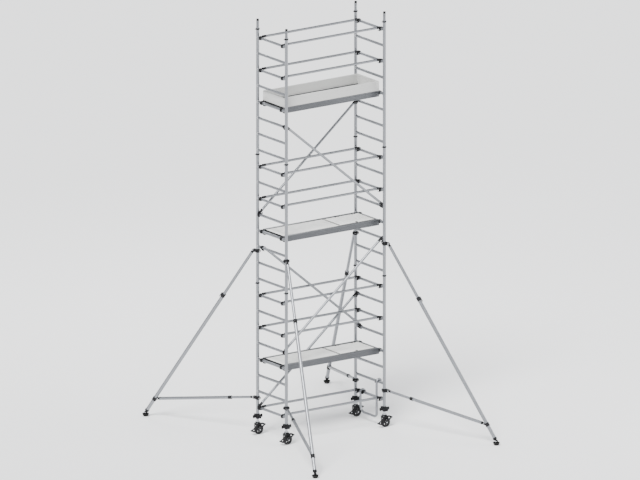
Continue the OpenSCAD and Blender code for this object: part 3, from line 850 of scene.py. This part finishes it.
def boardSection():
    t, h = toe["thick"], toe["high"]
    groove = [(t, -3), (t - 1.2, -1.5), (t - 1.2, 1.5), (t, 3)]
    grooves = [(x, h * share + z) for share in toe["grooves"] for x, z in groove]
    top = [(t, h - 4), (t - 4, h), (4, h), (0, h - 4), (0, 1.5)]
    return [[(1.5, 0), (t - 1.5, 0), (t, 1.5)] + grooves + top]


def toeBoards():
    sideY, z = platform["width"] / 2 - 24, toeBottom
    long = put(plate(boardSection(), 2 * railEnd - 4, 0.5), shift(0, sideY, z) @ alongX)
    longs = repeat(long, turnedRound)
    short = put(plate(boardSection(), 2 * sideY - 1, 0.5), shift(-railEnd + 2 + toe["thick"], 0, z)
                @ turn(180, "Z") @ turn(90, "X"))
    shorts = repeat(short, turnedRound)
    return finishPiece([paint(longs, boardFinish), paint(shorts, boardFinish)], "toe_boards")


def toeBoardClips():
    z = toeBottom
    outX, outY = railEnd - 1.9, platform["width"] / 2 - 3.9
    leg, t, high = toe["clipLeg"], toe["clipThick"], toe["high"] - 6
    outline = [(outX - leg, outY), (outX, outY), (outX, outY - leg), (outX + t, outY - leg),
               (outX + t, outY + t), (outX - leg, outY + t)]
    corner = put(plate([outline], high, 0.3), shift(0, 0, z + high / 2))
    heads = [put(dome(5, 2.2), facing(outX - leg / 2, outY + t - 0.2, z + h)) for h in toe["screws"]]
    heads += [put(dome(5, 2.2), shift(outX + t - 0.2, outY - leg / 2, z + h) @ turn(90, "Y"))
              for h in toe["screws"]]
    clip = join([paint(corner, boardFinish), paint(join(heads), zinc)])
    mirrorX, mirrorY = Matrix.Scale(-1, 4, (1, 0, 0)), Matrix.Scale(-1, 4, (0, 1, 0))
    whole = repeat(clip, [Matrix.Identity(4), mirrorX, mirrorY, mirrorX @ mirrorY])
    return finishPiece([closeUp(whole)], "toe_board_clips")


toeBoards()
toeBoardClips()


# Access bracket: one bent tube with a hook at each end

stirrup = {"radius": 18, "wall": 2, "hook": 38.5, "frontY": -229, "rearY": 191, "bottom": 130,
           "frontBend": 60, "rearBend": 100,
           "claw": 32}


def accessBracket():
    s = stirrup
    x = tower["postX"] - s["hook"]
    hookArc = [(x + s["hook"] - s["hook"] * cos(radians(a)), s["hook"] * sin(radians(a)))
               for a in range(160, -1, -10)]
    path = [(px, s["frontY"], rungHeight(2) + dz) for px, dz in hookArc]
    bend = s["frontBend"]
    path += [(x, y, z) for y, z in arc((s["frontY"] + bend, s["bottom"] + bend), bend, 180, 270, 9)]
    bend = s["rearBend"]
    path += [(x, y, z) for y, z in arc((s["rearY"] - bend, s["bottom"] + bend), bend, 270, 360, 12)]
    path += [(px, s["rearY"], rungHeight(1) + dz) for px, dz in reversed(hookArc)]
    tube = traced([path], dimensions="3D", bevel_depth=s["radius"] * mm, bevel_resolution=5,
                  use_fill_caps=True)
    tube = paint(closeUp(tube), legMetal)
    plugs = []
    for end, before in ((path[0], path[1]), (path[-1], path[-2])):
        plug = turned([(17.5, -3), (18.4, -2), (18.4, 2), (15, 4), (8, 5)], 24)
        plugs.append(paint(put(plug, along(end, Vector(end) + Vector(end) - Vector(before))), capNylon))
    claws = []
    for y, k, way in ((s["frontY"], 2, 1), (s["rearY"], 1, -1)):
        middle = y + way * (s["radius"] + 0.1 + s["claw"] / 2)
        claw = put(pocketedClaw(hook["outer"], s["claw"], 22), shift(tower["postX"], middle, rungHeight(k)))
        strap = block((26, s["claw"] + 8, 8), (x + 4, middle - way * 4, rungHeight(k) - 12), 1.2)
        claws += [paint(claw, blackNylon), paint(strap, blackNylon)]
    return finishPiece([tube] + plugs + claws, "access_bracket")


accessBracket()
print("toe boards and access bracket ready")


# Castors

castor = {"wheel": 75, "wide": 40, "trail": 20, "forkWide": 76, "cheek": 5, "crown": 164, "crownThick": 14,
          "crownX": (-40, 52), "race": 34, "flange": 198, "spindle": 18, "nutRadius": 32, "nutHigh": 80,
          "wing": 84,
          "wingThick": 18, "pitch": 8, "low": (-86, 58), "high": (106, 148), "pivot": (-8, 96),
          "pedal": (30, 18)}


def smoothCorner(points, radius=3, steps=3):
    rounded = []
    count = len(points)
    for i, here in enumerate(points):
        corner, before, after = Vector(here), Vector(points[i - 1]), Vector(points[(i + 1) % count])
        reach = min(radius, (before - corner).length / 2.1, (after - corner).length / 2.1)
        a, b = corner + (before - corner).normalized() * reach, corner + (after - corner).normalized() * reach
        for j in range(steps + 1):
            t = j / steps
            point = a * (1 - t) ** 2 + corner * 2 * t * (1 - t) + b * t ** 2
            rounded.append((point.x, point.y))
    return rounded


def adjustingNut():
    c = castor
    top, r = tower["bottom"] - 0.4, c["nutRadius"]
    low, bore = top - c["nutHigh"] + 0.2, c["spindle"] + 0.35
    rings = [(r - 4, low), (r - 1, low + 3), (r - 1, low + 12), (r - 5, low + 15), (r - 5, low + 62),
             (r - 1, low + 65),
             (r, low + 67), (r, top - 2), (r - 2, top), (bore, top), (bore, low)]
    hub = turned(rings, 36, hollow=True)
    mid, tip = (low + top) / 2, c["wing"]
    half = [(24, 25), (46, 17), (58, 17), (69, 24), (tip - 3, 22), (tip, 10)]
    wing = smoothCorner([(x, mid - z) for x, z in half] + [(x, mid + z) for x, z in reversed(half)], 6, 4)
    pocket = smoothCorner([(52, mid - 11), (tip - 8, mid - 15), (tip - 6, mid + 15), (52, mid + 11)], 6, 4)
    blade = upright(plate([wing, pocket], c["wingThick"], 2.4))
    inset = smoothCorner([(50, mid - 13), (tip - 5, mid - 17), (tip - 4, mid + 17), (50, mid + 13)], 6, 4)
    wings = repeat(join([blade, upright(plate([inset], 9, 0.4))]), [turn(90 * i, "Z") for i in range(4)])
    return [paint(join([hub, wings]), coatedCasting)]


# A real thread: one turn of its outline wound up by the Screw modifier
def threadedRod():
    r, pitch, low, turns = castor["spindle"], castor["pitch"], castor["flange"] + 8, 52
    outline = [(r - 2.2, 0), (r - 2.2, 2.2), (r, 3.4), (r, 6.2), (r - 2.2, 7.4), (r - 2.2, 8)]
    obj = traced([[(x, 0, z) for x, z in outline]], dimensions="3D")
    wind = obj.modifiers.new("wind", "SCREW")
    wind.angle = 2 * pi
    wind.screw_offset = pitch * mm
    wind.iterations = turns
    wind.steps = wind.render_steps = 20
    bpy.ops.object.modifier_apply(modifier="wind")
    with shaping(obj):
        bpy.ops.mesh.remove_doubles(threshold=1e-5)
        bpy.ops.mesh.select_all(action="SELECT")
        bpy.ops.mesh.fill_holes(sides=0)
        bpy.ops.mesh.select_all(action="SELECT")
        bpy.ops.mesh.normals_make_consistent(inside=False)
    return put(obj, shift(0, 0, low))


def spindle():
    flange, crown = castor["flange"], castor["crown"]
    collar = turned([(8, crown + 2.2), (8, flange + 0.4), (29, flange + 0.4), (30, flange + 1.4),
                     (30, flange + 7),
                     (28, flange + 8.3), (21, flange + 9), (19.5, flange + 14), (15, flange + 15)], 36)
    return [paint(join([threadedRod(), collar]), zinc)]


def fork():
    c = castor
    r, crown, top = c["wheel"], c["crown"], c["crown"] + c["crownThick"]
    left, right = c["crownX"]
    half = c["forkWide"] / 2
    crownPlate = block((right - left, c["forkWide"], c["crownThick"]),
                       ((left + right) / 2, 0, crown + c["crownThick"] / 2), 3)
    race = c["race"]
    raceRings = [(race - 1, top - 1), (race, top + 1), (race, top + 7), (race - 1.6, top + 8),
                 (race - 1.6, top + 11),
                 (race, top + 12), (race, c["flange"] - 2), (race - 2, c["flange"]), (8.2, c["flange"])]
    bearing = turned(raceRings, 40)
    cheek = smoothCorner([(left, crown + 9), (left + 4, r + 16), (c["trail"] - 20, r - 20),
                          (c["trail"] + 18, r - 20),
                          (c["trail"] + 24, r + 8), (right, crown + 9)], 8, 4)
    window = smoothCorner([(left + 13, crown - 10), (left + 15, r + 27), (c["trail"] - 16, r + 17),
                           (c["trail"] + 10, r + 19),
                           (right - 16, crown - 10)], 6, 4)
    border = smoothCorner([(left + 10, crown - 6), (left + 12, r + 25), (c["trail"] - 17, r + 14),
                           (c["trail"] + 12, r + 16),
                           (right - 12, crown - 6)], 7, 4)
    side = upright(plate([cheek, window], c["cheek"], 0.9))
    bead = upright(plate([border, window], c["cheek"] + 3, 0.9))
    cheeks = repeat(join([side, bead]), [shift(0, s * (half - c["cheek"] / 2), 0) for s in (-1, 1)])
    back = block((5, c["forkWide"] - 3, 30), (left + 3.4, 0, crown - 8), 1.6)
    bolts = [crossPin(6, 2 * half + 12, c["trail"], r, 20)]
    bolts += [put(rod(9.5, 1.2, 24, 0.4), facing(c["trail"], s * (half + 4.7), r, s)) for s in (-1, 1)]
    px, pz = c["pivot"]
    bolts += [put(rod(5, 10, 16, 0.6), facing(px, s * (half - 5), pz, s)) for s in (-1, 1)]
    bolts += [put(hexBolt(13, 5, 4, 4), shift(x, y, top + 0.2)) for x in (left + 9, right - 9)
              for y in (-half + 10, half - 10)]
    return [paint(join([crownPlate, bearing, cheeks, back]), coatedCasting), paint(join(bolts), zinc)]


def wheel():
    r, half = castor["wheel"], castor["wide"] / 2
    tread = [(57, -half + 5), (62, -half + 2), (r - 6, -half), (r - 2, -half + 2.5), (r, -half + 6),
             (r, -9), (r - 2.2, -7.6), (r - 2.2, -5.4), (r, -4)]
    tyre = turned(mirrored(tread), 64, hollow=True)
    seat = mirrored([(50, -half + 3), (56, -half + 3), (57.4, -half + 6)])
    rim = turned(seat + [(48, half - 9), (48, -half + 9)], 48, hollow=True)
    holes = [ring(10, 16, (34 * cos(2 * pi * i / 6), 34 * sin(2 * pi * i / 6))) for i in range(6)]
    web = plate([ring(49, 48), *holes], 9, 1.5)
    hub = castor["forkWide"] / 2 - castor["cheek"] - 0.6
    boss = turned(mirrored([(6.2, -hub), (12, -hub), (14, -hub + 2), (15, -12), (19, -5)]), 32, hollow=True)
    ribs = [put(block((32, 4, 20), (33, 0, 0), 1.2), turn(30 + 60 * i, "Z")) for i in range(6)]
    place = facing(castor["trail"], 0, r, -1)
    return [put(paint(tyre, tyreRubber), place), put(paint(join([rim, web, boss] + ribs), rimNylon), place)]


def brakePedal():
    c = castor
    low, high, pivot = (Vector(c[spot]) for spot in ("low", "high", "pivot"))
    axle = Vector((c["trail"], c["wheel"]))
    up = Vector((0, 1))
    across = c["forkWide"] / 2 + 2.3
    outline = [low - up * 7.5, pivot - up * 16.5, axle - up * 21.5, axle + Vector((23.5, 0)), high - up * 7.5,
               high + up * 7.5,
               pivot + up * 16.5, low + up * 7.5]
    slot = ring(13.6, 28, axle)
    eye = ring(5.2, 20, pivot)
    bar = upright(plate([smoothCorner(outline, 6, 4), slot, eye], 4, 0.8))
    rib = upright(plate([smoothCorner([low, pivot - up * 9, pivot + up * 9], 3, 3)], 5.6, 0.8))
    bar = join([bar, rib])
    parts = [repeat(bar, [shift(0, s * across, 0) for s in (-1, 1)])]
    wide, tall = c["pedal"][0] / 2, c["pedal"][1] / 2
    step = [(-wide, -tall + 4), (-wide + 5, -tall), (wide - 5, -tall), (wide, -tall + 4), (wide, tall - 3),
            (wide - 4, tall),
            (-wide + 4, tall), (-wide, tall - 3)]
    for tip in (low, high):
        pad = put(upright(plate([smoothCorner(step, 3, 2)], 2 * across + 3.6, 1.6)), shift(tip.x, 0, tip.y))
        grips = [block((2.4, 2 * across - 10, 2.4), (tip.x - 10 + 5 * i, 0, tip.y + tall + 0.4), 0.8)
                 for i in range(5)]
        parts += [pad] + grips
    return [paint(join(parts), pedalCoat)]


castorKit = (("adjusting_nut_", "nut_", "casting", adjustingNut), ("spindle_", "jack_", "zinc", spindle),
             ("fork_", "castor_", "casting", fork), ("wheel_", "roller_", "wheel", wheel),
             ("brake_pedal_", "brake_", "pedal", brakePedal))


def fitAtPosts(make, nodePrefix, bodyPrefix, placeOf):
    base = settle(join(make()))
    for post in posts:
        finishPiece([put(twin(base), placeOf(post))], nodePrefix + post, bodyPrefix + post)
    bpy.data.objects.remove(base)


def atPost(post):
    side, face = posts[post]
    return shift(side * tower["postX"], face * tower["postY"], 0)


for nodePrefix, bodyPrefix, slotName, make in castorKit:
    fitAtPosts(make, nodePrefix, bodyPrefix, atPost)
print("castors ready")


# Stabilisers, drawn with their reach along +X

couplerLow, couplerHigh = boxOf("couplers_front_right")
footPlace = jointPlace("foot_tilt_front_right")
stay = {"reachX": footPlace.x - tower["postX"], "reachY": abs(footPlace.y) - tower["postY"], "pin": 75,
        "coupler": 54,
        "footZ": footPlace.z, "inner": 22.5, "outer": 27, "strutInner": 19, "strutOuter": 24,
        "strutWall": 4.5,
        "tubeWall": 2.5, "insideLeg": 900, "insideStrut": 300, "tongue": 32, "tongueThick": 18,
        "jointShare": 0.27, "strutShare": 0.23, "ringShare": 0.916, "ringToPin": 58,
        "rim": 52, "rimZ": 46, "well": 20, "yoke": 19.6}
stay["upper"], stay["lower"] = couplerHigh.z - stay["coupler"] / 2, couplerLow.z + stay["coupler"] / 2
reach = hypot(stay["reachX"], stay["reachY"])
legTop, legFoot = Vector((stay["pin"], stay["upper"])), Vector((reach, stay["footZ"]))
legRun = legFoot - legTop
legLength = legRun.length
ringPoint = legTop + legRun * stay["ringShare"]
strutTop = Vector((stay["pin"], stay["lower"]))
strutEnd = ringPoint - (ringPoint - strutTop).normalized() * stay["ringToPin"]
strutRun = strutEnd - strutTop
strutLength = strutRun.length


def tiltOf(run):
    return atan2(run.x, -run.y) * 180 / pi


legTilt, strutTilt = tiltOf(legRun), tiltOf(strutRun)


def atStay(post):
    side, face = posts[post]
    return atPost(post) @ Matrix.Rotation(atan2(face * stay["reachY"], side * stay["reachX"]), 4, "Z")


def downTube(point, tilt):
    return shift(point.x, 0, point.y) @ turn(180 - tilt, "Y")


def bolt(centre, half):
    x, z = centre
    nuts = [put(hexBolt(19, 5, 1, 5), facing(x, s * (half - 5), z, s)) for s in (-1, 1)]
    return [crossPin(6, 2 * half, x, z)] + nuts


def couplerAt(z):
    r, half, pin = tower["postRadius"], stay["coupler"] / 2, stay["pin"]
    band = turned(mirrored([(r + 0.6, -half), (r + 9, -half), (r + 11.6, -half + 2), (r + 11.6, -half + 11),
                            (r + 9.5, -half + 14)]), 44, hollow=True)
    ear = smoothCorner([(r + 2, -22.6), (pin - 8, -22.6), (pin + 13.6, -14), (pin + 13.6, 14),
                        (pin - 8, 22.6), (r + 2, 22.6)], 10, 5)
    cheek = upright(plate([ear, ring(7, 20, (pin, 0))], 8.6, 1.4))
    boss = put(rod(13, 2.6, 28, 1), facing(pin, 0, 0, -1) @ shift(0, 0, 4))
    gussets = [block((24, 9, 4), (r + 20, 0, k * 18), 1.2) for k in (-1, 1)]
    ears = repeat(join([cheek, boss] + gussets),
                  [shift(0, s * (stay["tongueThick"] / 2 + 4.6), 0) for s in (-1, 1)])
    lugs = [block((25, 12.4, 27.6), (-r - 12, k * 7.7, 0), 3) for k in (-1, 1)]
    flanges = [block((7, 26, 35.6), (4.4 * h, k * (r + 13), 0), 2.4) for h in (-1, 1) for k in (-1, 1)]
    casting = put(paint(join([band, ears] + lugs + flanges), coatedCasting), shift(0, 0, z))
    metal = bolt((pin, 0), 24)
    boltX = -r - 15
    metal.append(put(rod(4.8, 27, 16, 0.6), facing(boltX, 13.6, 0, -1)))
    for k in (-1, 1):
        metal.append(put(rod(4.8, 15.6, 16, 0.6), shift(-7.8, k * (r + 18), 0) @ turn(90, "Y")))
        metal.append(put(hexBolt(15, 4, 1, 4), facing(boltX, k * 13.4, 0, k)))
    return [casting, put(paint(join(metal), zinc), shift(0, 0, z))]


def couplers():
    return couplerAt(stay["upper"]) + couplerAt(stay["lower"])


# Flat eye and tapered plug at the end of a tube, from the pin down +Z
def tongue(radius):
    half, long = 14, stay["tongue"]
    outline = arc((0, 0), half, 180, 360, 18) + [(half, long + 2), (-half, long + 2)]
    eye = upright(plate([outline, ring(6.3, 20)], stay["tongueThick"] - 0.4, 1.4))
    plug = turned([(9, long - 9), (radius - 3, long - 4), (radius + 1.2, long - 1), (radius + 1.2, long + 9),
                   (radius + 0.1, long + 10.5),
                   (radius - 2, long + 10.5)], 32)
    return join([eye, plug])


# Sprung buttons that lock one tube in another
def buttons(radius, heights):
    return [put(dome(6, 4), facing(0, 0, z, -s) @ shift(0, 0, radius - 0.6)) for z in heights
            for s in (-1, 1)]


def ferrule(radius, length, bore):
    rings = [(bore, 0), (radius - 1, 0), (radius, 1), (radius, 5), (radius - 1.5, 6.5)]
    return turned(mirrored(rings, length), 36, hollow=True)


def stabiliserArm():
    s = stay
    start = s["tongue"] + 1
    legTube = put(pipe(s["inner"], s["tubeWall"], s["jointShare"] * legLength + s["insideLeg"] - start, 36),
                  shift(0, 0, start))
    leg = put(paint(legTube, legMetal), downTube(legTop, legTilt))
    split = s["strutShare"] * strutLength
    strutParts = [put(pipe(s["strutInner"], s["tubeWall"], split + s["insideStrut"] - start, 32),
                      shift(0, 0, start)),
                  put(pipe(s["strutOuter"], s["strutWall"], strutLength - s["tongue"] - split, 36),
                      shift(0, 0, split))]
    strut = put(paint(join(strutParts), legMetal), downTube(strutTop, strutTilt))
    sleeve = put(ferrule(s["strutOuter"] + 4.5, 52, s["strutOuter"] - 4), shift(0, 0, split - 5))
    ends = [sleeve, tongue(s["strutInner"]),
            put(tongue(s["strutOuter"]), shift(0, 0, strutLength) @ turn(180, "X"))]
    dark = [put(paint(join(ends), coatedCasting), downTube(strutTop, strutTilt)),
            put(paint(tongue(s["inner"]), coatedCasting), downTube(legTop, legTilt))]
    springs = put(paint(join(buttons(s["strutOuter"], [split + 85])), zinc), downTube(strutTop, strutTilt))
    # Ring that the leg slides through, with two cheeks for the strut's end
    r = s["outer"]
    band = turned(mirrored([(r + 0.5, -28), (r + 6, -28), (r + 8, -26), (r + 8, -16), (r + 6, -13)]), 40,
                  hollow=True)
    dark.append(paint(put(band, downTube(ringPoint, legTilt)), coatedCasting))
    cheek = upright(plate([smoothCorner([(-16, -14), (16, -14), (16, 30), (-16, 30)], 11, 5)], 7, 1.2))
    cheeks = repeat(cheek, [downTube(strutEnd, strutTilt) @ shift(0, k * (s["tongueThick"] / 2 + 3.7), 0)
                            for k in (-1, 1)])
    dark.append(paint(cheeks, coatedCasting))
    pins = put(paint(join(bolt((0, 0), 22)), zinc), downTube(strutEnd, strutTilt))
    return [leg, strut, springs, pins] + dark


def outerLeg():
    s = stay
    joint, end, r = s["jointShare"] * legLength, legLength - s["tongue"], s["outer"]
    tube = put(pipe(r, r - s["inner"] - 0.3, end - joint, 40), shift(0, 0, joint))
    metal = put(paint(tube, legMetal), downTube(legTop, legTilt))
    dark = [put(ferrule(r + 6, 60, s["inner"] + 0.5), shift(0, 0, joint)),
            put(ferrule(r + 6, 28, r - 4), shift(0, 0, end - 28)),
            put(tongue(r - 1.4), shift(0, 0, legLength) @ turn(180, "X"))]
    # Clamp ears and the lever that tightens the collar
    dark += [block((20, 7, 34), (-r - 10, k * 6.5, joint + 29), 2) for k in (-1, 1)]
    lever = upright(plate([smoothCorner([(-r - 8, -8), (-r - 19, -8), (-r - 22, 0), (-r - 20, 62),
                                         (-r - 12, 66), (-r - 8, 8)], 4, 3)], 5, 1.2))
    dark.append(put(lever, shift(0, 0, joint + 29)))
    collar = put(paint(join(dark), coatedCasting), downTube(legTop, legTilt))
    pin = crossPin(4, 24, -r - 13, joint + 29, rim=0.6)
    knobs = put(paint(join(buttons(r, [joint + 105]) + [pin]), zinc), downTube(legTop, legTilt))
    return [metal, collar, knobs]


def foot():
    s = stay
    rim, high, well = s["rim"], s["rimZ"], s["well"]
    shoe = turned([(28, 0), (30, 1.5), (35.5, 4.5), (38.5, 10), (37.8, 11.5), (41, 15), (44.6, 20.4),
                   (43.8, 22), (46.4, 25.4), (49, 30),
                   (rim - 1, high - 9), (rim, high - 5), (rim - 1, high - 1), (rim - 3.5, high),
                   (rim - 7, high - 1.5), (rim - 11, high - 6),
                   (37, 25), (31, well + 0.6), (20, well)], 56)
    studs = [put(block((4.6, 3.4, 13), (46.6, 0, 32), 1.4), turn(15 * i, "Z")) for i in range(24)]
    rubberPart = put(paint(join([shoe] + studs), padRubber), shift(reach, 0, 0))
    wide, pinZ = s["yoke"], s["footZ"]
    outline = [(-wide, well - 0.8), (-wide, pinZ - 4), *arc((0, pinZ), wide, 168, 12, 18), (wide, pinZ - 4),
               (wide, well - 0.8)]
    cheek = upright(plate([outline, ring(7, 20, (0, pinZ))], 8.8, 1.6))
    cheeks = repeat(cheek, [shift(0, k * (s["tongueThick"] / 2 + 4.8), 0) for k in (-1, 1)])
    base = put(rod(30, 6, 36, 1.6), shift(0, 0, well - 1))
    yoke = put(paint(join([cheeks, base]), coatedCasting), shift(reach, 0, 0))
    pins = put(paint(join(bolt((0, pinZ), 24)), zinc), shift(reach, 0, 0))
    return [rubberPart, yoke, pins]


stayKit = (("couplers_", "stabiliser_", "casting", couplers),
           ("stabiliser_arm_", "stabiliser_", "tube", stabiliserArm),
           ("outer_leg_", "leg_", "tube", outerLeg), ("foot_", "pad_", "rubber", foot))
for nodePrefix, bodyPrefix, slotName, make in stayKit:
    fitAtPosts(make, nodePrefix, bodyPrefix, atStay)
print("stabilisers ready")


# Floor, light and camera

studio = {"floor": 120, "floorDown": 0.0005, "sky": (0.95, 0.97, 1.0, 1), "skyStrength": 0.9,
          "lamps": (("keyLight", "SUN", (-9.0, -6.0, 16.0), 6.0, 24),
                    ("fillLight", "AREA", (8.5, -7.0, 6.0), 350, 6.0),
                    ("rimLight", "AREA", (3.0, 9.0, 9.0), 400, 5.0)),
          "azimuth": -35.15, "elevation": 14.9, "width": 9.613, "distance": 20,
          "target": (-0.0123, 0.0086, 2.9625)}


def floorFinish():
    f = Finish("studioFloor")
    tone = f.mix(f.noise(0.35, 2), (0.92, 0.92, 0.92), (0.93, 0.93, 0.93))
    return f.end(tone, 0.9)


def softLight(name, kind, place, power, size):
    light = bpy.data.lights.new(name, kind)
    light.energy = power
    if kind == "SUN":
        light.angle = radians(size)
    else:
        light.shape = "DISK"
        light.size = size
    lamp = linked(bpy.data.objects.new(name, light))
    lamp.location = place
    lamp.rotation_euler = (Vector(studio["target"]) - Vector(place)).to_track_quat("-Z", "Y").to_euler()


bpy.ops.object.select_all(action="DESELECT")
bpy.ops.mesh.primitive_plane_add(size=studio["floor"], location=(0, 0, -studio["floorDown"]))
floor = bpy.context.object
floor.name = "studioFloor"
paint(floor, floorFinish())

world = bpy.data.worlds.new("studioWorld")
bpy.context.scene.world = world
world.use_nodes = True
sky = world.node_tree.nodes["Background"]
sky.inputs["Color"].default_value = studio["sky"]
sky.inputs["Strength"].default_value = studio["skyStrength"]
for lamp in studio["lamps"]:
    softLight(*lamp)

view = bpy.data.cameras.new("studioCamera")
view.type = "ORTHO"
view.ortho_scale = studio["width"]
view.clip_end = 200
camera = linked(bpy.data.objects.new("studioCamera", view))
a, e = radians(studio["azimuth"]), radians(studio["elevation"])
back = Vector((sin(a) * cos(e), -cos(a) * cos(e), sin(e)))
camera.location = Vector(studio["target"]) + back * studio["distance"]
camera.rotation_euler = back.to_track_quat("Z", "Y").to_euler()
bpy.context.scene.camera = camera
print("studio ready")
